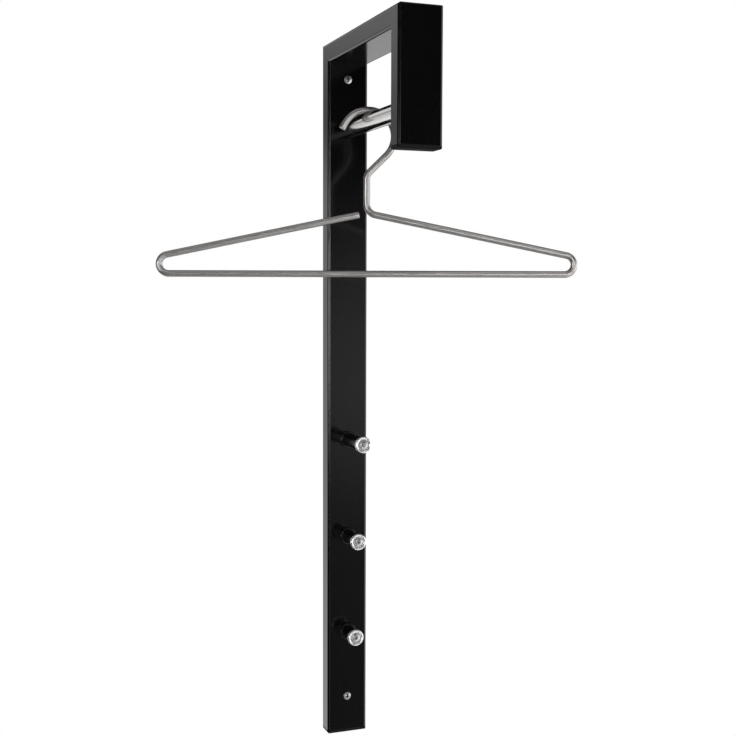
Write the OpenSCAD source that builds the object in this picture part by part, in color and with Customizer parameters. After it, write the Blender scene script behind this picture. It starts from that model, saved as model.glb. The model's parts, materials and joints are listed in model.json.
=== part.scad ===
// Wall coat rack: a mitred tube frame shaped like an upside-down J, with a round rail from front to back,
// three knobs that stand out less the lower they sit, two wall screws and a bent-wire coat hanger.
// The origin is on the wall plane, midway between the wall screws. +Z is up and the room is towards -Y.

/* [Frame] */
// Height of the frame, end cap included
frame_height = 670; // [600:5:1200]
// Depth of the frame, from the wall to the front of the drop
frame_depth = 195; // [150:1:320]
// Height of the front drop, end cap included
drop_height = 117; // [105:1:220]
// Width of the tube, across the rack
tube_width = 40; // [30:1:60]
// Depth of the tube, the thin way
tube_depth = 18; // [17:0.5:30]
// Wall of the tube
tube_wall = 2; // [1.5:0.1:2.5]
// Radius of the tube's long outer edges
tube_edge_r = 2.5; // [1:0.1:3]
// Radius of the tube's long inner edges
tube_inner_r = 0.5; // [0.3:0.1:1.5]
// Radius to which the weld is ground over the two outer corners
corner_r = 1; // [0.5:0.1:1.5]

/* [End caps] */
// Thickness of an end cap's visible flange
cap_flange = 3.5; // [3:0.1:6]
// Radius of the flange's outer edges
cap_edge_r = 2.8; // [0.5:0.1:2.9]
// How far a cap's plug reaches into the tube
cap_plug_length = 15; // [10:0.5:20]
// Wall of the cap's hollow plug
cap_plug_wall = 1.6; // [1:0.1:2]
// Number of grip fins round the plug
cap_fins = 3; // [1:1:4]
// Thickness of a grip fin
cap_fin_thickness = 1; // [0.6:0.1:1.5]
// How far a grip fin stands out of the plug
cap_fin_depth = 0.9; // [0.4:0.1:1.2]

/* [Wall screws] */
// Distance from the top of the frame down to the upper wall screw
upper_screw_below_top = 33.5; // [28:0.5:50]
// Height of the lower wall screw above the foot of the frame
lower_screw_height = 36.5; // [30:0.5:60]
// Outer diameter of the screw's thread, which begins at the wall
screw_d = 4.5; // [3.5:0.1:5]
// Diameter of the screw's plain shank inside the post
screw_shank_d = 3.4; // [2.6:0.1:3.4]
// Diameter of the screw's countersunk head
screw_head_d = 7.7; // [7.3:0.1:9]
// Height of the head's domed top
screw_dome = 1.2; // [0.6:0.1:1.4]
// Width of a slot of the head's cross recess
cross_width = 1; // [0.6:0.1:1.2]
// Length of a slot of the cross recess
cross_length = 4.2; // [3:0.1:4.6]
// Depth of the cross recess, from the top of the dome
cross_depth = 2; // [1.5:0.1:2.2]
// How far the screw reaches into the wall
screw_in_wall = 34; // [20:1:50]
// Length of the screw's point
screw_point = 6; // [3:0.5:8]
// Outer diameter of the sleeve that keeps the tube from being crushed
sleeve_d = 9; // [8:0.5:12]

/* [Hanger rail] */
// Distance from the top of the frame down to the rail's axis
rail_below_top = 80.5; // [50:0.5:90]
// Diameter of the rail
rail_d = 16; // [12:0.5:20]
// Wall of the rail's tube
rail_wall = 1.5; // [1:0.1:2]
// Length of the plugs inside the rail's two ends
rail_plug_length = 22; // [15:1:30]
// Diameter of the spigot that enters the drop's rear wall
spigot_d = 9; // [6:0.5:10]
// How far the spigot stands past the drop's rear wall
spigot_past_wall = 2; // [1:0.5:4]
// Diameter of the rail screw's thread
rail_screw_d = 6; // [5:0.5:6]
// Diameter of the rail screw's socket head
rail_screw_head_d = 10; // [9:0.5:10]
// Height of the rail screw's socket head
rail_screw_head_h = 6; // [4:0.5:7]
// Width across the flats of the rail screw's hexagon socket
rail_socket_af = 5; // [4:0.5:5.5]
// Depth of the rail screw's hexagon socket
rail_socket_depth = 3; // [2:0.5:3.5]
// Length of the rail screw's thread inside the rear plug
rail_screw_grip = 12; // [8:0.5:14]
// Outer diameter of the rail screw's washer
washer_d = 12; // [11:0.5:13]
// Thickness of the rail screw's washer
washer_t = 1.6; // [1:0.1:2]
// Diameter of the hole in the post's back through which the rail screw is reached
access_hole_d = 14; // [13.5:0.5:18]

/* [Knobs] */
// Height of the lowest knob above the foot of the frame
lowest_knob_height = 102; // [80:1:120]
// Distance between knobs
knob_pitch = 95; // [60:1:110]
// How far the upper knob stands out of the post
upper_knob_reach = 45.5; // [30:0.5:80]
// How far the middle knob stands out of the post
middle_knob_reach = 32.5; // [24:0.5:70]
// How far the lower knob stands out of the post
lower_knob_reach = 25.5; // [20:0.5:60]
// Diameter of the collar at a knob's foot
collar_d = 16; // [14:0.5:24]
// Thickness of the collar
collar_t = 3; // [2.6:0.1:5]
// Diameter of a knob's shaft
shaft_d = 12; // [11:0.5:12.5]
// How deep the shaft sits in the collar's front recess
shaft_seat = 0.8; // [0.4:0.1:1]
// Diameter of the bright cap on a knob's end
knob_cap_d = 15.5; // [14.5:0.5:24]
// Thickness of the bright cap
knob_cap_t = 4; // [3.5:0.1:6]
// Radius of the rounded edges of cap and collar
knob_edge_r = 0.7; // [0.3:0.1:0.8]
// Width of the cap's raised rim
knob_rim = 2; // [1.5:0.1:2.2]
// Depth of the recess inside the rim
knob_recess = 1; // [0.5:0.1:1.2]
// Diameter of the screw through a knob
knob_screw_d = 5; // [4:0.5:5]
// Diameter of the knob screw's countersunk head
knob_screw_head_d = 9; // [8:0.5:9]
// Width across the flats of the knob screw's hexagon socket
knob_socket_af = 3; // [2.5:0.5:3.5]
// Depth of the knob screw's hexagon socket
knob_socket_depth = 1.6; // [1:0.1:1.8]
// Length of the knob screw's thread inside the rivet nut
knob_screw_grip = 9; // [6:0.5:9]
// Diameter of the rivet nut's body
rivet_nut_d = 7; // [6.6:0.1:8]
// Length of the rivet nut behind its flange
rivet_nut_length = 11; // [10:0.5:12]
// Diameter of the rivet nut's flange
rivet_flange_d = 10; // [9:0.5:10.5]
// Thickness of the rivet nut's flange
rivet_flange_t = 0.8; // [0.5:0.1:1]
// Diameter of the bulge that grips the tube wall from inside
rivet_bulge_d = 9.6; // [8.5:0.1:10]
// Length of that bulge
rivet_bulge_length = 3; // [2:0.1:4]

/* [Coat hanger] */
// Diameter of the hanger's wire
wire_d = 6.2; // [4:0.1:7]
// Overall width of the hanger
hanger_width = 388; // [300:2:460]
// Radius of the hook, at the wire's middle
hook_r = 24; // [20:0.2:30]
// Angle round the hook at which its tip begins, counted from the right-hand side
hook_tip_angle = 150; // [130:1:175]
// Length of the hook's straight tip
hook_tip_run = 6; // [1.5:0.5:10]
// Distance from the hook's centre down to the neck's upper bend
neck_below_hook = 34.5; // [33:0.5:60]
// Length of the upright neck, between the corners of its bends
neck_length = 35; // [20:0.2:60]
// Radius of the bends above and below the neck
neck_bend_r = 10; // [7:0.5:12]
// Height of the shoulders' peak above the bar
hanger_rise = 55.6; // [40:0.2:90]
// Radius of the loops at the bar's ends
loop_r = 8.8; // [7:0.2:16]
// Gap between the neck and the free end of the left shoulder
free_end_gap = 3.8; // [2:0.2:10]
// How far the hanger is turned about the vertical, as it hangs
hanger_turn = 20.5; // [0:0.5:25]
// Distance from the post's front to the hook, along the rail
hanger_from_post = 54; // [54:1:100]
// Chamfer at the wire's two cut ends
wire_chamfer = 0.5; // [0.2:0.1:1]

/* [Clearances] */
// Radial play of a screw in its hole
screw_play = 0.1; // [0.05:0.05:0.3]
// Radial play between pressed or plugged pieces
plug_play = 0.05; // [0.02:0.01:0.1]
// Radial play of the spigot and the rivet nuts in the tube wall
seat_play = 0.1; // [0.05:0.05:0.3]
// Gap between the hook and the rail under it
hook_play = 0.3; // [0.2:0.1:1]

/* [Hidden] */
$fn = 64;

screw_spacing = frame_height - upper_screw_below_top - lower_screw_height;
screw_heights = [-screw_spacing / 2, screw_spacing / 2];
frame_foot = screw_heights[0] - lower_screw_height;
frame_top = frame_foot + frame_height;
post_front = -tube_depth;
drop_front = -frame_depth;
drop_back = drop_front + tube_depth;
drop_foot = frame_top - drop_height;
inner_width = tube_width - 2 * tube_wall;
inner_depth = tube_depth - 2 * tube_wall;

screw_head_h = (screw_head_d - screw_shank_d) / 2;

rail_z = frame_top - rail_below_top;
rail_bore_d = rail_d - 2 * rail_wall;

lower_knob_z = frame_foot + lowest_knob_height;
middle_knob_z = lower_knob_z + knob_pitch;
upper_knob_z = middle_knob_z + knob_pitch;
knob_bore_d = knob_screw_d + 2 * screw_play;
knob_screw_head_h = (knob_screw_head_d - knob_screw_d) / 2;

wire_r = wire_d / 2;
// How far a straight run reaches into the bend beside it
run_lap = 2 * wire_chamfer;
// How much larger a bend's radius is than a run's
bend_swell = 0.02;
hook_z = rail_d / 2 + hook_play + wire_r - hook_r;
neck_top_z = hook_z - neck_below_hook;
peak_z = neck_top_z - neck_length;
bar_z = peak_z - hanger_rise;
loop_s = hanger_width / 2 - loop_r - wire_r;
// A hair's breadth by which cuts pass the faces that they open
eps = 0.01;

black = [0.08, 0.08, 0.085];
bright = [0.86, 0.87, 0.88];
steel = [0.62, 0.6, 0.57];
zinc = [0.72, 0.73, 0.74];

// A rectangle with true round corners, centred on the origin
module rounded_rect(w, d, r) {
  square([w - 2 * r, d], center = true);
  square([w, d - 2 * r], center = true);
  for (x = [-1, 1], y = [-1, 1])
    translate([x * (w / 2 - r), y * (d / 2 - r)]) circle(r = r);
}

module tube_section() {
  difference() {
    rounded_rect(tube_width, tube_depth, tube_edge_r);
    rounded_rect(inner_width, inner_depth, tube_inner_r);
  }
}

// The room-side half space above the mitre through the frame's top rear edge
module above_rear_mitre() {
  reach = frame_depth + tube_depth;
  translate([-tube_width, 0, frame_top]) rotate([45, 0, 0])
    translate([0, -reach, 0]) cube([2 * tube_width, 2 * reach, reach]);
}

// The same half space at the front corner
module above_front_mitre() {
  translate([0, drop_front, 0]) mirror([0, 1, 0]) above_rear_mitre();
}

// What grinding takes off an outer corner of the frame, here the one at the wall
module ground_rear_corner() {
  translate([-tube_width, -corner_r, frame_top - corner_r]) difference() {
    cube([2 * tube_width, corner_r + eps, corner_r + eps]);
    translate([-eps, 0, 0]) rotate([0, 90, 0])
      cylinder(h = 2 * (tube_width + eps), r = corner_r);
  }
}

module ground_front_corner() {
  translate([0, drop_front, 0]) mirror([0, 1, 0]) ground_rear_corner();
}

// Something drawn along +Z is turned to run from the wall into the room
module towards_room(y, z) {
  translate([0, y, z]) rotate([90, 0, 0]) children();
}

module wall_post() {
  color(black)
  difference() {
    translate([0, -tube_depth / 2, frame_foot + cap_flange])
      linear_extrude(frame_height - cap_flange) tube_section();
    above_rear_mitre();
    ground_rear_corner();
    for (z = screw_heights) {
      towards_room(eps, z) cylinder(h = tube_depth + 2 * eps, d = screw_d + 2 * screw_play);
      towards_room(post_front + tube_wall, z)
        cylinder(h = tube_wall, d1 = screw_head_d + 2 * screw_play - 2 * tube_wall,
                 d2 = screw_head_d + 2 * screw_play);
    }
    for (z = [lower_knob_z, middle_knob_z, upper_knob_z])
      towards_room(post_front + tube_wall + eps, z)
        cylinder(h = tube_wall + 2 * eps, d = rivet_nut_d + 2 * seat_play);
    towards_room(post_front + tube_wall + eps, rail_z)
      cylinder(h = tube_wall + 2 * eps, d = rail_screw_d + 2 * screw_play);
    towards_room(eps, rail_z) cylinder(h = tube_wall + 2 * eps, d = access_hole_d);
  }
}

module top_arm() {
  color(black)
  difference() {
    intersection() {
      translate([0, 0, frame_top - tube_depth / 2]) rotate([90, 0, 0])
        linear_extrude(frame_depth) tube_section();
      above_rear_mitre();
      above_front_mitre();
    }
    ground_rear_corner();
    ground_front_corner();
  }
}

module front_drop() {
  color(black)
  difference() {
    translate([0, drop_front + tube_depth / 2, drop_foot + cap_flange])
      linear_extrude(drop_height - cap_flange) tube_section();
    above_front_mitre();
    ground_front_corner();
    towards_room(drop_back + eps, rail_z)
      cylinder(h = tube_wall + 2 * eps, d = spigot_d + 2 * seat_play);
  }
}

// The outline of a flange seen from one side, with its two lower corners rounded
module flange_side(w) {
  translate([-w / 2, cap_edge_r]) square([w, cap_flange - cap_edge_r]);
  translate([cap_edge_r - w / 2, 0]) square([w - 2 * cap_edge_r, cap_flange]);
  for (x = [-1, 1]) translate([x * (w / 2 - cap_edge_r), cap_edge_r]) circle(r = cap_edge_r);
}

// An end cap centred on the tube, its flange rising from z = 0 and its plug above it
module end_cap() {
  intersection() {
    linear_extrude(cap_flange) rounded_rect(tube_width, tube_depth, tube_edge_r);
    translate([0, tube_depth / 2, 0]) rotate([90, 0, 0])
      linear_extrude(tube_depth) flange_side(tube_width);
    translate([-tube_width / 2, 0, 0]) rotate([90, 0, 90])
      linear_extrude(tube_width) flange_side(tube_depth);
  }
  plug_w = inner_width - 2 * (cap_fin_depth + plug_play);
  plug_d = inner_depth - 2 * (cap_fin_depth + plug_play);
  fin_step = (cap_plug_length - cap_fin_thickness) / cap_fins;
  translate([0, 0, cap_flange]) difference() {
    union() {
      linear_extrude(cap_plug_length) square([plug_w, plug_d], center = true);
      for (i = [1 : cap_fins]) translate([0, 0, i * fin_step - cap_fin_thickness])
        linear_extrude(cap_fin_thickness)
          rounded_rect(inner_width - 2 * plug_play, inner_depth - 2 * plug_play, tube_inner_r);
    }
    linear_extrude(cap_plug_length + eps)
      square([plug_w - 2 * cap_plug_wall, plug_d - 2 * cap_plug_wall], center = true);
  }
}

module post_end_cap() {
  color(black) translate([0, -tube_depth / 2, frame_foot]) end_cap();
}

module drop_end_cap() {
  color(black) translate([0, drop_front + tube_depth / 2, drop_foot]) end_cap();
}

module hanger_rail() {
  length = post_front - drop_back;
  color(bright) towards_room(post_front, rail_z) difference() {
    cylinder(h = length, d = rail_d);
    translate([0, 0, -eps]) cylinder(h = length + 2 * eps, d = rail_bore_d);
  }
}

module rail_rear_plug() {
  color(zinc) towards_room(post_front, rail_z) difference() {
    cylinder(h = rail_plug_length, d = rail_bore_d - 2 * plug_play);
    translate([0, 0, -eps])
      cylinder(h = rail_screw_grip + 2 * rail_wall, d = rail_screw_d + 2 * plug_play);
  }
}

module rail_front_plug() {
  color(zinc) towards_room(drop_back + rail_plug_length, rail_z) {
    cylinder(h = rail_plug_length, d = rail_bore_d - 2 * plug_play);
    cylinder(h = rail_plug_length + tube_wall + spigot_past_wall, d = spigot_d);
  }
}

module rail_screw() {
  seat = post_front + tube_wall + washer_t;
  color(zinc) {
    towards_room(seat, rail_z)
      cylinder(h = washer_t + tube_wall + rail_screw_grip, d = rail_screw_d);
    towards_room(seat + rail_screw_head_h, rail_z) difference() {
      cylinder(h = rail_screw_head_h, d = rail_screw_head_d);
      translate([0, 0, -eps])
        cylinder(h = rail_socket_depth, d = rail_socket_af / cos(30), $fn = 6);
    }
  }
}

module rail_washer() {
  color(zinc) towards_room(post_front + tube_wall + washer_t, rail_z) difference() {
    cylinder(h = washer_t, d = washer_d);
    translate([0, 0, -eps]) cylinder(h = washer_t + 2 * eps, d = rail_screw_d + 2 * screw_play);
  }
}

// Half the profile of a disc from radius zero, with its front outer edge rounded
module disc_profile(r, h, edge) {
  square([r - edge, h]);
  square([r, h - edge]);
  translate([r - edge, h - edge]) circle(r = edge);
}

module knob_collar(z) {
  color(black) towards_room(post_front, z) difference() {
    rotate_extrude() disc_profile(collar_d / 2, collar_t, knob_edge_r);
    translate([0, 0, -eps]) cylinder(h = collar_t + 2 * eps, d = knob_bore_d);
    translate([0, 0, -eps])
      cylinder(h = rivet_flange_t + screw_play, d = rivet_flange_d + 2 * seat_play);
    translate([0, 0, collar_t - shaft_seat])
      cylinder(h = shaft_seat + eps, d = shaft_d + 2 * plug_play);
  }
}

module knob_shaft(z, reach) {
  length = reach - knob_cap_t - collar_t + shaft_seat;
  color(black) towards_room(post_front - collar_t + shaft_seat, z) difference() {
    cylinder(h = length, d = shaft_d);
    translate([0, 0, -eps]) cylinder(h = length + 2 * eps, d = knob_bore_d);
  }
}

module knob_cap(z, reach) {
  floor_t = knob_cap_t - knob_recess;
  head_d = knob_screw_head_d + 2 * screw_play;
  color(bright) towards_room(post_front - reach + knob_cap_t, z) difference() {
    rotate_extrude() disc_profile(knob_cap_d / 2, knob_cap_t, knob_edge_r);
    translate([0, 0, floor_t]) cylinder(h = knob_recess + eps, d = knob_cap_d - 2 * knob_rim);
    translate([0, 0, -eps]) cylinder(h = floor_t + 2 * eps, d = knob_bore_d);
    translate([0, 0, floor_t - knob_screw_head_h])
      cylinder(h = knob_screw_head_h + eps, d1 = head_d - 2 * knob_screw_head_h, d2 = head_d);
  }
}

// The screw is drawn with its head uppermost at z = 0 and its thread below
module knob_screw(z, reach) {
  length = reach - knob_recess + knob_screw_grip;
  color(zinc) towards_room(post_front - reach + knob_recess, z) difference() {
    union() {
      translate([0, 0, -length]) cylinder(h = length - knob_screw_head_h + eps, d = knob_screw_d);
      translate([0, 0, -knob_screw_head_h])
        cylinder(h = knob_screw_head_h, d1 = knob_screw_d, d2 = knob_screw_head_d);
    }
    translate([0, 0, -knob_socket_depth])
      cylinder(h = knob_socket_depth + eps, d = knob_socket_af / cos(30), $fn = 6);
  }
}

module upper_knob_collar() { knob_collar(upper_knob_z); }
module upper_knob_shaft() { knob_shaft(upper_knob_z, upper_knob_reach); }
module upper_knob_cap() { knob_cap(upper_knob_z, upper_knob_reach); }
module upper_knob_screw() { knob_screw(upper_knob_z, upper_knob_reach); }
module middle_knob_collar() { knob_collar(middle_knob_z); }
module middle_knob_shaft() { knob_shaft(middle_knob_z, middle_knob_reach); }
module middle_knob_cap() { knob_cap(middle_knob_z, middle_knob_reach); }
module middle_knob_screw() { knob_screw(middle_knob_z, middle_knob_reach); }
module lower_knob_collar() { knob_collar(lower_knob_z); }
module lower_knob_shaft() { knob_shaft(lower_knob_z, lower_knob_reach); }
module lower_knob_cap() { knob_cap(lower_knob_z, lower_knob_reach); }
module lower_knob_screw() { knob_screw(lower_knob_z, lower_knob_reach); }

// A rivet nut grips the post's front wall between its flange and its bulge
module rivet_nut() {
  difference() {
    union() {
      translate([0, 0, -rivet_nut_length]) cylinder(h = rivet_nut_length, d = rivet_nut_d);
      translate([0, 0, -tube_wall - rivet_bulge_length])
        cylinder(h = rivet_bulge_length, d = rivet_bulge_d);
      cylinder(h = rivet_flange_t, d = rivet_flange_d);
    }
    translate([0, 0, -rivet_nut_length - eps])
      cylinder(h = rivet_nut_length + rivet_flange_t + 2 * eps, d = knob_screw_d + 2 * plug_play);
  }
}

module knob_rivet_nuts() {
  color(zinc) for (z = [lower_knob_z, middle_knob_z, upper_knob_z])
    towards_room(post_front, z) rivet_nut();
}

// A raised countersunk wood screw, its head's rim at z = 0 and its point below
module wall_screw() {
  dome_r = (pow(screw_head_d / 2, 2) + pow(screw_dome, 2)) / (2 * screw_dome);
  thread = screw_in_wall - screw_point;
  difference() {
    union() {
      intersection() {
        translate([0, 0, screw_dome - dome_r]) sphere(r = dome_r);
        cylinder(h = screw_dome, d = screw_head_d);
      }
      translate([0, 0, -screw_head_h])
        cylinder(h = screw_head_h, d1 = screw_shank_d, d2 = screw_head_d);
      translate([0, 0, -tube_depth]) cylinder(h = tube_depth - screw_head_h + eps, d = screw_shank_d);
      translate([0, 0, -tube_depth - thread]) cylinder(h = thread, d = screw_d);
      translate([0, 0, -tube_depth - screw_in_wall]) cylinder(h = screw_point, d1 = 0, d2 = screw_d);
    }
    translate([0, 0, screw_dome - cross_depth]) for (turn = [0, 90]) rotate([0, 0, turn])
      translate([-cross_length / 2, -cross_width / 2, 0]) cube([cross_length, cross_width, cross_depth]);
  }
}

module wall_screws() {
  color(zinc) for (z = screw_heights)
    towards_room(post_front, z) wall_screw();
}

module screw_sleeve(z) {
  color(zinc) towards_room(-tube_wall, z) difference() {
    cylinder(h = inner_depth, d = sleeve_d);
    translate([0, 0, -eps]) cylinder(h = inner_depth + 2 * eps, d = screw_d + 2 * screw_play);
  }
}

module upper_screw_sleeve() { screw_sleeve(screw_heights[1]); }
module lower_screw_sleeve() { screw_sleeve(screw_heights[0]); }

// The hanger's wire lies in a plane of its own, drawn here in X and Z from the rail's axis.
// A straight run is [start, end] and a bend is [centre, radius, first angle, last angle], both in the
// order in which the wire runs from the hook's tip to the free end of the left shoulder.
function unit(a, b) = (b - a) / norm(b - a);
function polar(centre, r, angle) = centre + r * [cos(angle), sin(angle)];
function is_run(w) = len(w) == 2;
function run_length(w) = norm(w[1] - w[0]);
function turn_of(w) = w[3] - w[2];
function wire_length(w) = is_run(w) ? run_length(w) : w[1] * abs(turn_of(w)) * PI / 180;
function wire_middle(w) = is_run(w)
  ? (w[0] + w[1]) / 2
  : polar(w[0], w[1] * sin(turn_of(w) / 2) / (turn_of(w) * PI / 360), (w[2] + w[3]) / 2);
function total(v, i = 0) = i < len(v) ? v[i] + total(v, i + 1) : 0;

// Slope of a shoulder that leaves the loop round its outside and ends at the peak
shoulder_slope = atan2(-loop_s, peak_z - bar_z - loop_r)
  + acos(loop_r / norm([loop_s, peak_z - bar_z - loop_r]));

// The whole wire, with all below the hook moved sideways by shift
function wire_path(shift) =
  let (
    hook = [0, hook_z],
    on_hook = polar(hook, hook_r, hook_tip_angle),
    hook_heading = [sin(hook_tip_angle), -cos(hook_tip_angle)],
    neck_top = [shift, neck_top_z],
    peak = [shift, peak_z],
    to_neck = neck_top - hook,
    leave = atan2(to_neck[1], to_neck[0]) + acos(hook_r / norm(to_neck)),
    off_hook = polar(hook, hook_r, leave),
    upper_turn = -leave,
    upper_back = neck_bend_r * tan(upper_turn / 2),
    lower_turn = 90 - shoulder_slope,
    lower_back = neck_bend_r * tan(lower_turn / 2),
    right_loop = [shift + loop_s, bar_z + loop_r],
    left_loop = [shift - loop_s, bar_z + loop_r],
    down_right = [cos(shoulder_slope), -sin(shoulder_slope)],
    down_left = [-cos(shoulder_slope), -sin(shoulder_slope)],
    free_end = (wire_r + free_end_gap) / cos(shoulder_slope)
  )
  [
    [on_hook - hook_tip_run * hook_heading, on_hook],
    [hook, hook_r, hook_tip_angle, leave],
    [off_hook, neck_top - upper_back * unit(off_hook, neck_top)],
    [neck_top + [neck_bend_r, -upper_back], neck_bend_r, 180 - upper_turn, 180],
    [neck_top - [0, upper_back], peak + [0, lower_back]],
    [peak + [neck_bend_r, lower_back], neck_bend_r, 180, 180 + lower_turn],
    [peak + lower_back * down_right, polar(right_loop, loop_r, 90 - shoulder_slope)],
    [right_loop, loop_r, 90 - shoulder_slope, -90],
    [right_loop - [0, loop_r], left_loop - [0, loop_r]],
    [left_loop, loop_r, 270, 90 + shoulder_slope],
    [polar(left_loop, loop_r, 90 + shoulder_slope), peak + free_end * down_left]
  ];

// The hanger hangs level when its centre of mass is under the rail: all below the hook moves over for that
plain_path = wire_path(0);
plain_lengths = [for (w = plain_path) wire_length(w)];
plain_moments = [for (w = plain_path) wire_length(w) * wire_middle(w)[0]];
fixed_length = plain_lengths[0] + plain_lengths[1];
balance_shift = -total(plain_moments) / (total(plain_lengths) - fixed_length);

// A straight run along +Z from one height to another, chamfered at both ends
module straight_run(from, to) {
  rotate_extrude() polygon([
    [0, from], [wire_r - wire_chamfer, from], [wire_r, from + wire_chamfer],
    [wire_r, to - wire_chamfer], [wire_r - wire_chamfer, to], [0, to]
  ]);
}

// The wire is bent as a bending machine does it: each run or bend starts where the last one ended, along +Z.
// Runs reach a little way into the bends, which are thicker by a hair, so that the whole is one solid.
module bent_wire(path, i = 0) {
  if (i < len(path)) {
    w = path[i];
    if (is_run(w)) {
      straight_run(i == 0 ? 0 : -run_lap, run_length(w) + (i == len(path) - 1 ? 0 : run_lap));
      translate([0, 0, run_length(w)]) bent_wire(path, i + 1);
    } else {
      side = turn_of(w) > 0 ? 0 : 180;
      rotate([0, 0, side]) translate([-w[1], 0, 0]) {
        rotate([90, 0, 0]) rotate_extrude(angle = abs(turn_of(w)))
          translate([w[1], 0]) circle(r = wire_r + bend_swell);
        rotate([0, -abs(turn_of(w)), 0]) translate([w[1], 0, 0]) rotate([0, 0, -side])
          bent_wire(path, i + 1);
      }
    }
  }
}

module coat_hanger() {
  path = wire_path(balance_shift);
  tip = path[0][0];
  color(steel)
  translate([0, post_front - hanger_from_post, rail_z]) rotate([0, 0, -hanger_turn])
    translate([tip[0], 0, tip[1]]) rotate([0, 180 - hook_tip_angle, 0]) bent_wire(path);
}

wall_post();
top_arm();
front_drop();
post_end_cap();
drop_end_cap();
hanger_rail();
rail_rear_plug();
rail_front_plug();
rail_screw();
rail_washer();
upper_knob_collar();
upper_knob_shaft();
upper_knob_cap();
upper_knob_screw();
middle_knob_collar();
middle_knob_shaft();
middle_knob_cap();
middle_knob_screw();
lower_knob_collar();
lower_knob_shaft();
lower_knob_cap();
lower_knob_screw();
knob_rivet_nuts();
wall_screws();
upper_screw_sleeve();
lower_screw_sleeve();
coat_hanger();
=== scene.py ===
# Looks of the wall coat rack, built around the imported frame. Sizes are in metres and angles in degrees.
import json
import math

import bmesh
import bpy
from mathutils import Matrix, Vector

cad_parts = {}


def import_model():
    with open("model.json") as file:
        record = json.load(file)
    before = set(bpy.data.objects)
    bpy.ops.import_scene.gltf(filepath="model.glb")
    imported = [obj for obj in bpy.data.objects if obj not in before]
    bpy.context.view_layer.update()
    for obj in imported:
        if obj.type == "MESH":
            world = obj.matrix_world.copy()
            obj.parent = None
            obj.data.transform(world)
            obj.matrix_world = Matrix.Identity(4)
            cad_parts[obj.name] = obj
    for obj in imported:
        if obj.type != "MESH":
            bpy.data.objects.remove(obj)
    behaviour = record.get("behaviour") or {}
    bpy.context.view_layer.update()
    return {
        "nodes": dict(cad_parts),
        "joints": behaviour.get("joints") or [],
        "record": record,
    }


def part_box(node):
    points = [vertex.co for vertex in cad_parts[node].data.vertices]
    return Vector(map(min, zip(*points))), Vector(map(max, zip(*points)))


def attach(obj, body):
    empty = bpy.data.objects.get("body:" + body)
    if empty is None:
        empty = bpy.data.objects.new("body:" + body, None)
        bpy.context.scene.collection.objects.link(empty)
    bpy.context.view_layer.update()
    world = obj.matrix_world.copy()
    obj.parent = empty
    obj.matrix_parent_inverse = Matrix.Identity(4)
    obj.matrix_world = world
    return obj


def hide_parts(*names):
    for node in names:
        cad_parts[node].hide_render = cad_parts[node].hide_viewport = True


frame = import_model()

# Places from the frame and its record. The wall is at Y = 0, and the rack's middle line at X = 0.
POST_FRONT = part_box("wall_post")[0].y
IN_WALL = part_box("wall_screws")[1].y
WALL_FIXING = next(mount for mount in frame["record"]["mounts"] if mount["name"] == "wall_fixing")
WALL_SCREW_HEIGHT = WALL_FIXING["dims"]["spacing_y_mm"] / 1000 / 2

# Camera, at the photo's viewing angle
CAMERA_PLACE = Vector((-0.3836, -1.0959, 0.1063))
CAMERA_YAW = 20.572
CAMERA_PITCH = -4.068
CAMERA_ROLL = 0.160
FOCAL_PIXELS = 1183.8
IMAGE_SIDE = 736
SENSOR = 36.0
CLIP_START, CLIP_END = 0.01, 50

# Coat hanger. Its rise is from the bar up to the shoulders' peak.
WIRE_R = 0.0031
HANGER_WIDTH = 0.388
HOOK_R = 0.024
HOOK_TIP_ANGLE = 150
HOOK_TIP_RUN = 0.006
NECK_BELOW_HOOK = 0.0345
NECK_LENGTH = 0.035
NECK_BEND_R = 0.010
HANGER_RISE = 0.0556
LOOP_R = 0.0088
FREE_END_GAP = 0.0038
HANGER_TURN = 20.5
HOOK_PLAY = 0.0003
END_ROUND = 0.0006
END_STEPS = 4
WIRE_SIDES = 40
BEND_STEP = 3.0
RUN_STEP = 0.004

# Heads and threads of both kinds of screw. A head's rings lie at shares of the way from its recess
# to its rim. An arc is its first and last angle and its steps. A thread's ridge reaches this share
# of its pitch to each side.
HEAD_RING_SHARES = (0, 0.03, 0.12, 0.3, 0.5, 0.7, 0.85, 0.95)
HEAD_RIM = 0.0002
HEAD_RIM_ARC = (60, -45, 3)
RIDGE_HALF_WIDTH = 0.28
RINGS_PER_TURN = 8

# Screws into the wall. At the point's tip these shares of the root and of the ridge are left.
WALL_HEAD_R = 0.00385
WALL_HEAD_DOME = 0.0012
CROSS_WIDTH = 0.0010
CROSS_LENGTH = 0.0042
CROSS_DEPTH = 0.0020
CROSS_TAPER = 0.6
CROSS_TIP = 0.0003
CROSS_CORNER_STEP = 5
CROSS_BETWEEN_ARMS = (24, 30, 37, 45)
SHANK_R = 0.0017
SHANK_FILLET_R = 0.0003
SHANK_FILLET_LENGTH = 0.0005
SHANK_CONE = 0.0004
THREAD_R = 0.00225
THREAD_ROOT = 0.0016
THREAD_PITCH = 0.0022
POINT = 0.006
POINT_ROOT_SHARE = 0.12
POINT_RIDGE_SHARE = 0.25

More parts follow.
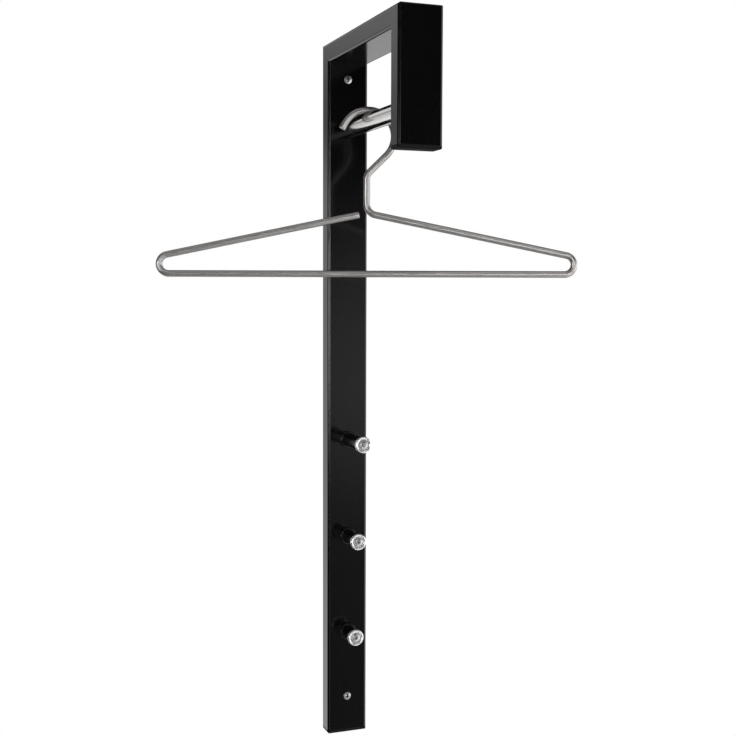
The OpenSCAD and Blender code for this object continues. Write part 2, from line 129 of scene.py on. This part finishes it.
# Knobs. The caps' and screws' places and outer sizes come from the frame.
KNOBS = ("upper", "middle", "lower")
CAP_RIM = 0.002
CAP_RECESS = 0.001
CAP_CROWN_ARC = (5, 175, 20)
CAP_CROWN_FOOT = 0.00002
CAP_BACK_EDGE = 0.00035
CAP_BACK_ARC = (-90, 0, 3)
CAP_SEAT_PLAY = 0.0001
CAP_SEAT_EDGE = 0.00008
CAP_BORE_R = 0.0026
CAP_SIDES = 96
KNOB_HEAD_R = 0.0045
KNOB_HEAD_DOME = 0.0009
KNOB_SCREW_R = 0.0025
KNOB_SCREW_ROOT = 0.0021
KNOB_SCREW_PITCH = 0.0008
KNOB_SCREW_SIDES = 48
KNOB_SHANK_CONE = 0.0003
KNOB_THREAD_LEAD = 0.004
SOCKET_AF = 0.003
SOCKET_DEPTH = 0.0016
SOCKET_TAPER = 0.98
SOCKET_TIP = 0.0004

# Edges that turn by more than SHARP_ANGLE are shaded sharp. Points nearer than SAME_POINT are one.
SHARP_ANGLE = 38
SAME_POINT = 1e-5
NOT_ZERO = 1e-6

# Materials. A noise's values from low to high run through the whole of a tint or a sheen.
NOISE_LOW, NOISE_HIGH = 0.3, 0.7
NOISE_ROUGHNESS = 0.55
WARM_SHEEN = (1, 0.94, 0.96, 1)
GRAIN_ATTRIBUTE = "wire_place"

# Light. Azimuth 0 is the room side, -Y, and 90 is +X.
# The panels that gloss and metal see round the rack are (azimuth, elevation, inner, outer, level):
# a panel is even out to inner and gone at outer, in degrees from its middle.
PANELS = [
    # The wall's side: seen in the frame's side faces, the rail and the arm's underside
    (-152, 19, 6, 15, 0.58),
    (-170, 17, 4, 10, 0.65),
    (-158, 8, 0, 20, 0.22),
    (-160, -12, 16, 20, 0.5),
    (-158, -38, 0, 40, 0.75),
    (159, -13, 4, 8, 0.8),
    (140, -40, 10, 35, 0.6),
    # The room's side: seen in the front faces, where their left edges start to round, and in the wire
    (22, -3.5, 0, 8.5, 0.52),
    (24, -11, 0, 13, 0.16),
    (-8, -0.5, 2, 10.5, 7.8),
    (-16, -22, 0, 18, 0.7),
    # Above and below: seen in the top and underside of the wire
    (8, 52, 5, 36, 0.8),
    (0, -55, 0, 35, 0.22),
    (0, 90, 10, 50, 0.15),
    (-112, 62, 5, 30, 0.45),
    (-52, 32, 4, 22, 0.4),
    # The left: seen in the rounded edges left of the front faces
    (-52, -0.5, 3.2, 7.8, 7.4),
    (-62, -0.5, 3.2, 7.8, 7.4),
    (-72, -0.5, 3.2, 7.8, 7.4),
    # The right: seen in the rims of the caps and the right side of the wire
    (60, -8, 10, 30, 2.8),
    (100, 15, 10, 50, 0.35),
    (128, 0, 5, 26, 1.0),
    (35, -48, 8, 30, 2.2),
]
SOFT_LIGHT = 0.6
WHITE_LIGHT = 1.0

# Area lamps: name, place, width and height, and power in watts
LAMPS = [
    ("key", (-1.3, -1.9, 1.5), (1.2, 1.2), 28),
    ("fill", (1.6, -1.6, 0.4), (1.0, 1.6), 10),
]
LAMP_TARGET = (0, -0.1, 0)

# Floor. It fades from FLOOR_FADE out to its edge, and gloss and metal see FLOOR_GLOSS_SHARE of it.
FLOOR_Z = -1.45
FLOOR_R = 1.9
FLOOR_FADE = 0.5
FLOOR_GLOSS_SHARE = 0.5
FLOOR_SIDES = 128
FLOOR_COLOUR = (0.8, 0.8, 0.8)
FLOOR_DARKER = (0.78, 0.78, 0.78)
FLOOR_LIGHTER = (0.82, 0.82, 0.82)


def add_object(name, data):
    obj = bpy.data.objects.new(name, data)
    bpy.context.scene.collection.objects.link(obj)
    return obj


def camera():
    """The camera, placed and turned as the photo's was."""
    data = bpy.data.cameras.new("camera")
    data.sensor_width = SENSOR
    data.lens = FOCAL_PIXELS / IMAGE_SIDE * SENSOR
    data.clip_start = CLIP_START
    data.clip_end = CLIP_END
    obj = add_object("camera", data)
    yaw, pitch, roll = (math.radians(a) for a in (CAMERA_YAW, CAMERA_PITCH, CAMERA_ROLL))
    forward = Vector((math.sin(yaw) * math.cos(pitch), math.cos(yaw) * math.cos(pitch), math.sin(pitch)))
    level = Vector((math.cos(yaw), -math.sin(yaw), 0))
    upward = level.cross(forward)
    right = math.cos(roll) * level + math.sin(roll) * upward
    up = math.cos(roll) * upward - math.sin(roll) * level
    obj.location = CAMERA_PLACE
    obj.rotation_euler = Matrix((right, up, -forward)).transposed().to_euler()
    bpy.context.scene.camera = obj


class Tree:
    """A node tree, with short calls to add and join its nodes."""

    def __init__(self, tree):
        self.tree = tree

    def add(self, kind, **settings):
        node = self.tree.nodes.new("ShaderNode" + kind)
        for key, value in settings.items():
            setattr(node, key, value)
        return node

    def join(self, source, target):
        self.tree.links.new(source, target)

    def soft_step(self, value, start, end, level=1.0):
        """Runs softly from 0 up to a level while a value runs from start to end."""
        node = self.add("MapRange", interpolation_type="SMOOTHSTEP")
        node.inputs["From Min"].default_value = start
        node.inputs["From Max"].default_value = end
        node.inputs["To Max"].default_value = level
        self.join(value, node.inputs["Value"])
        return node.outputs["Result"]

    def either(self, test, no, yes):
        """One shader where a value is 0 and another where it is 1."""
        node = self.add("MixShader")
        self.join(test, node.inputs[0])
        self.join(no, node.inputs[1])
        self.join(yes, node.inputs[2])
        return node.outputs["Shader"]


class Material(Tree):
    """A new material, with short calls for its noise, tint, sheen and relief."""

    def __init__(self, name, metallic, roughness, colour):
        self.material = bpy.data.materials.new(name)
        self.material.use_nodes = True
        super().__init__(self.material.node_tree)
        self.shader = self.tree.nodes["Principled BSDF"]
        self.shader.inputs["Metallic"].default_value = metallic
        self.shader.inputs["Roughness"].default_value = roughness
        self.shader.inputs["Base Color"].default_value = (*colour, 1)

    def place(self, stretch=(1, 1, 1), attribute=None):
        """Where a point lies on the object, or by an attribute, in metres and stretched for grain."""
        if attribute:
            source = self.add("Attribute", attribute_name=attribute).outputs["Vector"]
        else:
            source = self.add("TexCoord").outputs["Object"]
        mapping = self.add("Mapping")
        mapping.inputs["Scale"].default_value = stretch
        self.join(source, mapping.inputs["Vector"])
        return mapping.outputs["Vector"]

    def noise(self, place, scale, detail):
        node = self.add("TexNoise")
        node.inputs["Scale"].default_value = scale
        node.inputs["Detail"].default_value = detail
        node.inputs["Roughness"].default_value = NOISE_ROUGHNESS
        self.join(place, node.inputs["Vector"])
        return node.outputs["Fac"]

    def sheen(self, value, low, high):
        """Roughness that runs from low to high with a noise's value."""
        node = self.add("MapRange")
        node.inputs["From Min"].default_value = NOISE_LOW
        node.inputs["From Max"].default_value = NOISE_HIGH
        node.inputs["To Min"].default_value = low
        node.inputs["To Max"].default_value = high
        self.join(value, node.inputs["Value"])
        self.join(node.outputs["Result"], self.shader.inputs["Roughness"])

    def tint(self, value, low, high):
        """Base colour that runs from one colour to another with a noise's value."""
        node = self.add("ValToRGB")
        node.color_ramp.elements[0].position = NOISE_LOW
        node.color_ramp.elements[0].color = (*low, 1)
        node.color_ramp.elements[1].position = NOISE_HIGH
        node.color_ramp.elements[1].color = (*high, 1)
        self.join(value, node.inputs["Fac"])
        self.join(node.outputs["Color"], self.shader.inputs["Base Color"])

    def relief(self, height, depth, before=None):
        """Bump of a real depth in metres. Several are chained with before."""
        node = self.add("Bump")
        node.inputs["Strength"].default_value = 1.0
        node.inputs["Distance"].default_value = depth
        self.join(height, node.inputs["Height"])
        if before:
            self.join(before, node.inputs["Normal"])
        self.join(node.outputs["Normal"], self.shader.inputs["Normal"])
        return node.outputs["Normal"]


def powder_coat(name, colour, lighter, roughness):
    """Smooth black powder coat: a faint orange peel, a finer grain and a slightly uneven, warm sheen."""
    look = Material(name, metallic=0, roughness=roughness, colour=colour)
    look.shader.inputs["Specular Tint"].default_value = WARM_SHEEN
    place = look.place()
    cloud = look.noise(place, scale=14, detail=2)
    peel = look.noise(place, scale=420, detail=2)
    grain = look.noise(place, scale=2600, detail=2)
    look.tint(cloud, colour, lighter)
    look.sheen(grain, low=roughness - 0.03, high=roughness + 0.03)
    peeled = look.relief(peel, depth=0.000012)
    look.relief(grain, depth=0.000002, before=peeled)
    return look.material


def moulded_plastic(name, colour, lighter):
    """Black moulding with the fine spark-eroded grain of its tool."""
    look = Material(name, metallic=0, roughness=0.7, colour=colour)
    look.shader.inputs["Specular IOR Level"].default_value = 0.2
    place = look.place()
    cells = look.add("TexVoronoi")
    cells.inputs["Scale"].default_value = 2600
    look.join(place, cells.inputs["Vector"])
    cloud = look.noise(place, scale=60, detail=3)
    look.tint(cloud, colour, lighter)
    look.sheen(cloud, low=0.64, high=0.76)
    look.relief(cells.outputs["Distance"], depth=0.00002)
    return look.material


def chrome(name, colour, stretch, roughness, marks_depth):
    """Chrome with hairline polishing marks and a few faint smears."""
    look = Material(name, metallic=1, roughness=roughness, colour=colour)
    marks = look.noise(look.place(stretch), scale=2200, detail=3)
    smear = look.noise(look.place(), scale=45, detail=3)
    look.tint(smear, tuple(0.94 * c for c in colour), colour)
    look.sheen(smear, low=0.8 * roughness, high=1.5 * roughness)
    look.relief(marks, marks_depth)
    return look.material


def zinc(name, colour, darker, roughness):
    """Zinc-plated steel: cloudy plating with small spangles."""
    look = Material(name, metallic=1, roughness=roughness, colour=colour)
    place = look.place()
    cloud = look.noise(place, scale=160, detail=4)
    spangle = look.noise(place, scale=1500, detail=2)
    look.tint(cloud, darker, colour)
    look.sheen(spangle, low=roughness - 0.06, high=roughness + 0.10)
    look.relief(spangle, depth=0.00001)
    return look.material


def brushed_wire(name, colour, lighter):
    """Stainless wire, drawn and then brushed along its length."""
    look = Material(name, metallic=1, roughness=0.34, colour=colour)
    along = look.place((1, 1, 0.03), GRAIN_ATTRIBUTE)
    short = look.place((1, 1, 0.4), GRAIN_ATTRIBUTE)
    lines = look.noise(along, scale=2600, detail=4)
    flecks = look.noise(short, scale=700, detail=3)
    look.tint(flecks, colour, lighter)
    look.sheen(lines, low=0.30, high=0.42)
    lined = look.relief(lines, depth=0.000012)
    look.relief(flecks, depth=0.000003, before=lined)
    return look.material


def object_from(name, bm, material):
    """A smoothly shaded object from a bmesh, with its sharp edges kept sharp."""
    bmesh.ops.recalc_face_normals(bm, faces=bm.faces)
    for face in bm.faces:
        face.smooth = True
    mesh = bpy.data.meshes.new(name)
    bm.to_mesh(mesh)
    bm.free()
    mesh.set_sharp_from_angle(angle=math.radians(SHARP_ANGLE))
    mesh.materials.append(material)
    return add_object(name, mesh)


def band(bm, one, two):
    """Faces between two rings of vertices, of which either may be a single point."""
    sides = max(len(one), len(two))
    for k in range(sides):
        after = (k + 1) % sides
        if len(one) == 1:
            bm.faces.new((one[0], two[after], two[k]))
        elif len(two) == 1:
            bm.faces.new((one[k], one[after], two[0]))
        else:
            bm.faces.new((one[k], one[after], two[after], two[k]))


def skin(name, rings, material, bored=False, grain=None):
    """A closed skin over rings of points.

    A ring of one point closes an end, and any other end is flat. On a bored piece the last ring joins
    the first instead. Grain gives each point's place along and round a wire.
    """
    bm = bmesh.new()
    layer = bm.verts.layers.float_vector.new(GRAIN_ATTRIBUTE) if grain else None
    loops = []
    for i, ring in enumerate(rings):
        loop = [bm.verts.new(p) for p in ring]
        if grain:
            for vert, value in zip(loop, grain[i]):
                vert[layer] = value
        loops.append(loop)
    for one, two in zip(loops, loops[1:]):
        band(bm, one, two)
    if bored:
        band(bm, loops[-1], loops[0])
    else:
        for end in (loops[0], loops[-1]):
            if len(end) > 1:
                bm.faces.new(end)
    return object_from(name, bm, material)


def joined(name, parts):
    """Several pieces as one object."""
    bm = bmesh.new()
    for part in parts:
        bm.from_mesh(part.data)
    material = parts[0].data.materials[0]
    for part in parts:
        mesh = part.data
        bpy.data.objects.remove(part)
        bpy.data.meshes.remove(mesh)
    return object_from(name, bm, material)


def dress(obj, body, slot, *nodes):
    """Lets a piece stand for its nodes, on their body. Its slot is not used."""
    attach(obj, body)
    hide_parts(*nodes)


def arc(centre, radius, first, last, steps, height=None):
    """Points round an arc in a profile, with angles from the radial direction. An ellipse has a height."""
    angles = [math.radians(first + (last - first) * i / steps) for i in range(steps + 1)]
    height = height or radius
    return [(centre[0] + radius * math.cos(a), centre[1] + height * math.sin(a)) for a in angles]


def around(profile_point, angles, height, foot):
    """A ring of points round a knob's or screw's axis, which runs from foot towards the room.

    The profile's radius and its distance out from foot are numbers, or change with the angle.
    """
    radius, out = profile_point
    if radius == 0:
        return [Vector((0, foot - out, height))]
    radius_at = radius if callable(radius) else lambda a: radius
    out_at = out if callable(out) else lambda a: out
    return [
        Vector((radius_at(a) * math.cos(a), foot - out_at(a), height + radius_at(a) * math.sin(a)))
        for a in angles
    ]


def even_angles(sides):
    return [2 * math.pi * k / sides for k in range(sides)]


def cross_angles():
    """Angles that meet every corner of a cross recess, closer together on its arms."""
    corner = math.degrees(math.atan2(CROSS_WIDTH, CROSS_LENGTH))
    eighth = [0, corner / 2, corner, corner + CROSS_CORNER_STEP, *CROSS_BETWEEN_ARMS]
    quarter = eighth + [90 - a for a in reversed(eighth[1:-1])]
    return [math.radians(start + a) for start in (0, 90, 180, 270) for a in quarter]


def cross_outline(share):
    """Distance from a screw's axis to the edge of its cross recess, by direction, at a share of its size."""
    half_width, half_length = share * CROSS_WIDTH / 2, share * CROSS_LENGTH / 2

    def distance(angle):
        across, along = sorted((abs(math.cos(angle)), abs(math.sin(angle))))
        return min(half_length / along, half_width / max(across, NOT_ZERO))

    return distance


def hexagon_outline(share):
    """Distance from a screw's axis to the edge of its socket, by direction, at a share of its size."""

    def distance(angle):
        within = (angle + math.pi / 6) % (math.pi / 3) - math.pi / 6
        return share * SOCKET_AF / 2 / math.cos(within)

    return distance


def between(inner, outer, share):
    """An outline part of the way from an inner outline to an outer circle."""
    return lambda angle: inner(angle) + share * (outer - inner(angle))


def dome_over(head_r, dome):
    """Height of a head's spherical top at a distance from its axis."""
    ball = (head_r**2 + dome**2) / (2 * dome)
    return lambda r: dome - ball + math.sqrt(ball**2 - r**2)


def head_rings(outline, head_r, dome, taper, depth, tip):
    """Profile of a domed head with a recess in it, from the recess's tip out to the head's rim."""
    top = dome_over(head_r, dome)
    mouth = outline(1.0)
    rings = [(0, dome - depth - tip), (outline(taper), dome - depth)]
    for share in HEAD_RING_SHARES:
        edge = between(mouth, head_r, share)
        rings.append((edge, lambda a, edge=edge: top(edge(a))))
    return rings


def thread_rings(root, crest, pitch, top, bottom, point):
    """Profile of a thread that winds down from top to bottom, and runs out into a point if it has one."""
    total = round((top - bottom) / pitch * RINGS_PER_TURN)
    rings = []
    for i in range(total + 1):
        out = top - (top - bottom) * i / total
        whole = min(1.0, (out - bottom) / point) if point else 1.0
        risen = min(1.0, (top - out) / pitch)
        inner = root * (POINT_ROOT_SHARE + (1 - POINT_ROOT_SHARE) * whole)
        ridge = (crest - root) * (POINT_RIDGE_SHARE + (1 - POINT_RIDGE_SHARE) * whole) * risen

        def radius(angle, out=out, inner=inner, ridge=ridge):
            turn = (out / pitch + angle / (2 * math.pi)) % 1.0
            return inner + ridge * max(0.0, 1 - abs(turn - 0.5) / RIDGE_HALF_WIDTH)

        rings.append((radius, out))
    return rings


def wall_screws(material):
    """Raised countersunk wood screws with a cross recess, a plain shank and a thread in the wall."""
    wall = POST_FRONT  # the profile counts from the post's front, and the wall is at Y = 0
    neck = -HEAD_RIM - (WALL_HEAD_R - SHANK_R)
    profile = head_rings(cross_outline, WALL_HEAD_R, WALL_HEAD_DOME, CROSS_TAPER, CROSS_DEPTH, CROSS_TIP)
    profile += arc((WALL_HEAD_R - HEAD_RIM, 0), HEAD_RIM, *HEAD_RIM_ARC)
    profile += [(SHANK_R + SHANK_FILLET_R, neck + SHANK_FILLET_LENGTH), (SHANK_R, neck)]
    profile += [(SHANK_R, wall + SHANK_CONE)]
    profile += thread_rings(THREAD_ROOT, THREAD_R, THREAD_PITCH, wall, wall - IN_WALL, POINT)
    angles = cross_angles()
    parts = []
    for height in (-WALL_SCREW_HEIGHT, WALL_SCREW_HEIGHT):
        rings = [around(p, angles, height, POST_FRONT) for p in profile]
        parts.append(skin("screw", rings, material))
    dress(joined("cross_head_wall_screws", parts), "rack", "screw_steel", "wall_screws")


def knob_cap(name, material):
    """A turned cap: rounded back edge, crowned rim, recess for the screw's head, countersunk bore."""
    low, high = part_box(f"{name}_knob_cap")
    cap_r = high.x
    bottom = high.y - low.y - CAP_RECESS
    seat_r = KNOB_HEAD_R + CAP_SEAT_PLAY
    crown_r = CAP_RIM / 2
    profile = arc((cap_r - CAP_BACK_EDGE, CAP_BACK_EDGE), CAP_BACK_EDGE, *CAP_BACK_ARC)
    profile += arc((cap_r - crown_r, bottom), crown_r, *CAP_CROWN_ARC, height=CAP_RECESS)
    profile += [(cap_r - CAP_RIM, bottom + CAP_CROWN_FOOT)]
    profile += [(seat_r + CAP_SEAT_EDGE, bottom), (seat_r, bottom - CAP_SEAT_EDGE)]
    profile += [(CAP_BORE_R, bottom - (KNOB_HEAD_R - KNOB_SCREW_R)), (CAP_BORE_R, 0)]
    angles = even_angles(CAP_SIDES)
    rings = [around(p, angles, (low.z + high.z) / 2, high.y) for p in profile]
    obj = skin(f"{name}_turned_cap", rings, material, bored=True)
    dress(obj, "rack", "knob_chrome", f"{name}_knob_cap")


def knob_screw(name, material):
    """The screw through a knob: a low domed head with a hexagon socket, a countersink and a thread."""
    low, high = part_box(f"{name}_knob_screw")
    start = low.y - POST_FRONT + KNOB_THREAD_LEAD
    end = low.y - high.y
    depth = KNOB_HEAD_DOME + SOCKET_DEPTH
    dome_r = KNOB_HEAD_R - HEAD_RIM / 2
    profile = head_rings(hexagon_outline, dome_r, KNOB_HEAD_DOME, SOCKET_TAPER, depth, SOCKET_TIP)
    profile += arc((KNOB_HEAD_R - HEAD_RIM, 0), HEAD_RIM, *HEAD_RIM_ARC)
    profile += [(KNOB_SCREW_R, KNOB_SCREW_R - KNOB_HEAD_R), (KNOB_SCREW_R, start + KNOB_SHANK_CONE)]
    profile += thread_rings(KNOB_SCREW_ROOT, KNOB_SCREW_R, KNOB_SCREW_PITCH, start, end, 0)
    angles = even_angles(KNOB_SCREW_SIDES)
    rings = [around(p, angles, (low.z + high.z) / 2, low.y) for p in profile]
    obj = skin(f"{name}_socket_screw", rings, material)
    dress(obj, "rack", "screw_steel", f"{name}_knob_screw")


def unit(angle):
    """A unit vector in the hanger's own plane, which is X and Z."""
    return Vector((math.cos(math.radians(angle)), 0, math.sin(math.radians(angle))))


def wire_runs(shift):
    """The hanger's wire as runs (start, end) and bends (centre, radius, first, last), from hook to free end.

    Everything below the hook is moved over by shift. The rail's axis is at the origin.
    """
    rail_r = (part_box("hanger_rail")[1].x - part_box("hanger_rail")[0].x) / 2
    hook = Vector((0, 0, rail_r + HOOK_PLAY + WIRE_R - HOOK_R))
    neck_top = hook + Vector((shift, 0, -NECK_BELOW_HOOK))
    peak = neck_top - Vector((0, 0, NECK_LENGTH))
    bar_z = peak.z - HANGER_RISE
    loop_s = HANGER_WIDTH / 2 - LOOP_R - WIRE_R
    rise = peak.z - bar_z - LOOP_R
    slope = math.degrees(math.atan2(-loop_s, rise) + math.acos(LOOP_R / math.hypot(loop_s, rise)))
    to_neck = neck_top - hook
    leave = math.degrees(math.atan2(to_neck.z, to_neck.x) + math.acos(HOOK_R / to_neck.length))
    on_hook, off_hook = hook + HOOK_R * unit(HOOK_TIP_ANGLE), hook + HOOK_R * unit(leave)
    upper_back = NECK_BEND_R * math.tan(math.radians(-leave / 2))
    lower_turn = 90 - slope
    lower_back = NECK_BEND_R * math.tan(math.radians(lower_turn / 2))
    right = Vector((shift + loop_s, 0, bar_z + LOOP_R))
    left = Vector((shift - loop_s, 0, bar_z + LOOP_R))
    free_end = (WIRE_R + FREE_END_GAP) / math.cos(math.radians(slope))
    down = Vector((0, 0, -1))
    side = Vector((NECK_BEND_R, 0, 0))
    return [
        (on_hook - HOOK_TIP_RUN * unit(HOOK_TIP_ANGLE - 90), on_hook),
        (hook, HOOK_R, HOOK_TIP_ANGLE, leave),
        (off_hook, neck_top + upper_back * (off_hook - neck_top).normalized()),
        (neck_top + side + upper_back * down, NECK_BEND_R, 180 + leave, 180),
        (neck_top + upper_back * down, peak - lower_back * down),
        (peak + side - lower_back * down, NECK_BEND_R, 180, 180 + lower_turn),
        (peak + lower_back * unit(-slope), right + LOOP_R * unit(90 - slope)),
        (right, LOOP_R, 90 - slope, -90),
        (right + LOOP_R * down, left + LOOP_R * down),
        (left, LOOP_R, 270, 90 + slope),
        (left + LOOP_R * unit(90 + slope), peak + free_end * unit(180 + slope)),
    ]


def length_and_moment(piece):
    """A run's or bend's length, and that length times its middle's x."""
    if len(piece) == 2:
        length = (piece[1] - piece[0]).length
        return length, length * (piece[0].x + piece[1].x) / 2
    centre, radius, first, last = piece
    start, end = math.radians(first), math.radians(last)
    length = radius * abs(end - start)
    middle = centre.x + radius * (math.sin(end) - math.sin(start)) / (end - start)
    return length, length * middle


def balanced_runs():
    """The wire with everything below the hook moved over, so that the hanger hangs level."""
    plain = [length_and_moment(p) for p in wire_runs(0)]
    movable = sum(length for length, _ in plain[2:])
    return wire_runs(-sum(moment for _, moment in plain) / movable)


def wire_points():
    """Points and headings along the wire's middle line."""
    points = []
    for piece in balanced_runs():
        if len(piece) == 2:
            start, end = piece
            heading = (end - start).normalized()
            steps = max(1, round((end - start).length / RUN_STEP))
            made = [(start.lerp(end, i / steps), heading) for i in range(steps + 1)]
        else:
            centre, radius, first, last = piece
            steps = max(2, round(abs(last - first) / BEND_STEP))
            turn = math.copysign(90, last - first)
            angles = [first + (last - first) * i / steps for i in range(steps + 1)]
            made = [(centre + radius * unit(a), unit(a + turn)) for a in angles]
        if points and (made[0][0] - points[-1][0]).length < SAME_POINT:
            made = made[1:]
        points += made
    return points


def rounded_end(point, heading, outward):
    """Rings that close the wire: a small round over its cut edge, then the flat cut."""
    rings = []
    for i in range(1, END_STEPS + 1):
        a = math.radians(90 * i / END_STEPS)
        ahead = END_ROUND * math.sin(a)
        rings.append((point + outward * heading * ahead, heading, WIRE_R - END_ROUND * (1 - math.cos(a))))
    return rings


def wire_rings():
    """The wire's rings as (middle, heading, radius), from the hook's tip to the free shoulder end."""
    points = wire_points()
    start, end = points[0], points[-1]
    inner_start = (start[0] + END_ROUND * start[1], start[1], WIRE_R)
    inner_end = (end[0] - END_ROUND * end[1], end[1], WIRE_R)
    rings = list(reversed(rounded_end(inner_start[0], start[1], -1)))
    rings.append(inner_start)
    rings += [(point, heading, WIRE_R) for point, heading in points[1:-1]]
    rings.append(inner_end)
    return rings + rounded_end(inner_end[0], end[1], 1)


def coat_hanger(material):
    """The bent wire, hung over the rail and turned as it hangs. Its grain follows the wire."""
    hook_place = Vector(frame["joints"][0]["pos_m"])
    turned = Matrix.Rotation(math.radians(-HANGER_TURN), 3, "Z")
    across = Vector((0, 1, 0))
    rings, grain = [], []
    travelled = 0
    before = None
    for middle, heading, radius in wire_rings():
        if before is not None:
            travelled += (middle - before).length
        before = middle
        normal = heading.cross(across)
        ring, values = [], []
        for a in even_angles(WIRE_SIDES):
            out = radius * (math.cos(a) * normal + math.sin(a) * across)
            ring.append(hook_place + turned @ (middle + out))
            values.append((radius * math.cos(a), radius * math.sin(a), travelled))
        rings.append(ring)
        grain.append(values)
    obj = skin("bent_wire_hanger", rings, material, grain=grain)
    dress(obj, "hanger", "hanger_wire", "coat_hanger")


def towards(azimuth, elevation):
    """A unit vector from the rack to a place round it."""
    turn, rise = math.radians(azimuth), math.radians(elevation)
    return Vector((math.sin(turn) * math.cos(rise), -math.cos(turn) * math.cos(rise), math.sin(rise)))


def panel_light(tree, direction, azimuth, elevation, inner, outer, level):
    """How bright one panel is in a direction."""
    facing = tree.add("VectorMath", operation="DOT_PRODUCT")
    facing.inputs[1].default_value = towards(azimuth, elevation)
    tree.join(direction, facing.inputs[0])
    gone, even = math.cos(math.radians(outer)), math.cos(math.radians(inner))
    return tree.soft_step(facing.outputs["Value"], gone, even, level)


def white_light(tree, strength):
    """White light of one strength from every side."""
    node = tree.add("Background")
    node.inputs["Color"].default_value = (1, 1, 1, 1)
    node.inputs["Strength"].default_value = strength
    return node


def world():
    """White to the camera and even to matt surfaces. Gloss and metal see the panels round the rack."""
    studio = bpy.data.worlds.new("studio")
    bpy.context.scene.world = studio
    studio.use_nodes = True
    studio.node_tree.nodes.clear()
    tree = Tree(studio.node_tree)
    direction = tree.add("TexCoord").outputs["Generated"]
    total = panel_light(tree, direction, *PANELS[0])
    for panel in PANELS[1:]:
        both = tree.add("Math", operation="ADD")
        tree.join(total, both.inputs[0])
        tree.join(panel_light(tree, direction, *panel), both.inputs[1])
        total = both.outputs["Value"]
    panels = white_light(tree, 1.0)
    tree.join(total, panels.inputs["Strength"])
    soft, white = white_light(tree, SOFT_LIGHT).outputs[0], white_light(tree, WHITE_LIGHT).outputs[0]
    ray = tree.add("LightPath").outputs
    unseen = tree.either(ray["Is Glossy Ray"], soft, panels.outputs[0])
    backdrop = tree.either(ray["Is Transmission Ray"], unseen, white)
    result = tree.either(ray["Is Camera Ray"], backdrop, white)
    tree.join(result, tree.add("OutputWorld").inputs["Surface"])
    studio.cycles.sampling_method = "NONE"


def lamp(name, place, size, power):
    """An area lamp aimed at the rack. Gloss doesn't mirror it, because it has the panels."""
    data = bpy.data.lights.new(name, "AREA")
    data.shape = "RECTANGLE"
    data.size, data.size_y = size
    data.energy = power
    obj = add_object(name, data)
    obj.location = place
    obj.rotation_euler = (Vector(LAMP_TARGET) - Vector(place)).to_track_quat("-Z", "Y").to_euler()
    obj.visible_glossy = False


def floor():
    """A plain pale floor that fades into the backdrop. Gloss and metal see it half clear."""
    look = Material("pale_floor", metallic=0, roughness=0.6, colour=FLOOR_COLOUR)
    look.tint(look.noise(look.place(), scale=6, detail=3), FLOOR_DARKER, FLOOR_LIGHTER)
    distance = look.add("VectorMath", operation="LENGTH")
    look.join(look.add("TexCoord").outputs["Object"], distance.inputs[0])
    half_clear = look.add("Math", operation="MULTIPLY")
    half_clear.inputs[1].default_value = 1 - FLOOR_GLOSS_SHARE
    look.join(look.add("LightPath").outputs["Is Glossy Ray"], half_clear.inputs[0])
    clear = look.add("Math", operation="MAXIMUM")
    look.join(half_clear.outputs["Value"], clear.inputs[0])
    look.join(look.soft_step(distance.outputs["Value"], FLOOR_FADE, FLOOR_R), clear.inputs[1])
    transparent = look.add("BsdfTransparent").outputs[0]
    faded = look.either(clear.outputs["Value"], look.shader.outputs[0], transparent)
    look.join(faded, look.tree.nodes["Material Output"].inputs["Surface"])
    bm = bmesh.new()
    bmesh.ops.create_circle(bm, cap_ends=True, segments=FLOOR_SIDES, radius=FLOOR_R)
    obj = object_from("floor", bm, look.material)
    obj.location = (0, 0, FLOOR_Z)


LOOKS = {
    "frame_black": powder_coat(
        "powder_coat", (0.0018, 0.0018, 0.0019), lighter=(0.0027, 0.0026, 0.0027), roughness=0.14
    ),
    "cap_plastic": moulded_plastic(
        "moulded_plastic", (0.0015, 0.0015, 0.0016), lighter=(0.003, 0.003, 0.0031)
    ),
    "rail_chrome": chrome(
        "rail_chrome", (0.64, 0.63, 0.62), stretch=(1, 0.05, 1), roughness=0.1, marks_depth=0.0000015
    ),
    "knob_black": powder_coat(
        "knob_coat", (0.0008, 0.0008, 0.0009), lighter=(0.0014, 0.0014, 0.0015), roughness=0.26
    ),
    "knob_chrome": chrome(
        "knob_chrome", (0.97, 0.965, 0.96), stretch=(1, 1, 1), roughness=0.27, marks_depth=0.000002
    ),
    "screw_steel": zinc("screw_steel", (0.46, 0.46, 0.455), darker=(0.36, 0.36, 0.36), roughness=0.4),
    "zinc_steel": zinc("zinc_steel", (0.56, 0.57, 0.58), darker=(0.42, 0.43, 0.44), roughness=0.36),
    "hanger_wire": brushed_wire("hanger_wire", (0.43, 0.415, 0.403), lighter=(0.52, 0.503, 0.49)),
}

camera()
for part in frame["record"]["subparts"]:
    for material_slot in frame["nodes"][part["node"]].material_slots:
        material_slot.material = LOOKS[part["material_slot"]]
coat_hanger(LOOKS["hanger_wire"])
wall_screws(LOOKS["screw_steel"])
for knob in KNOBS:
    knob_cap(knob, LOOKS["knob_chrome"])
    knob_screw(knob, LOOKS["screw_steel"])
world()
floor()
for lamp_settings in LAMPS:
    lamp(*lamp_settings)

view_settings = bpy.context.scene.view_settings
view_settings.view_transform = "Standard"
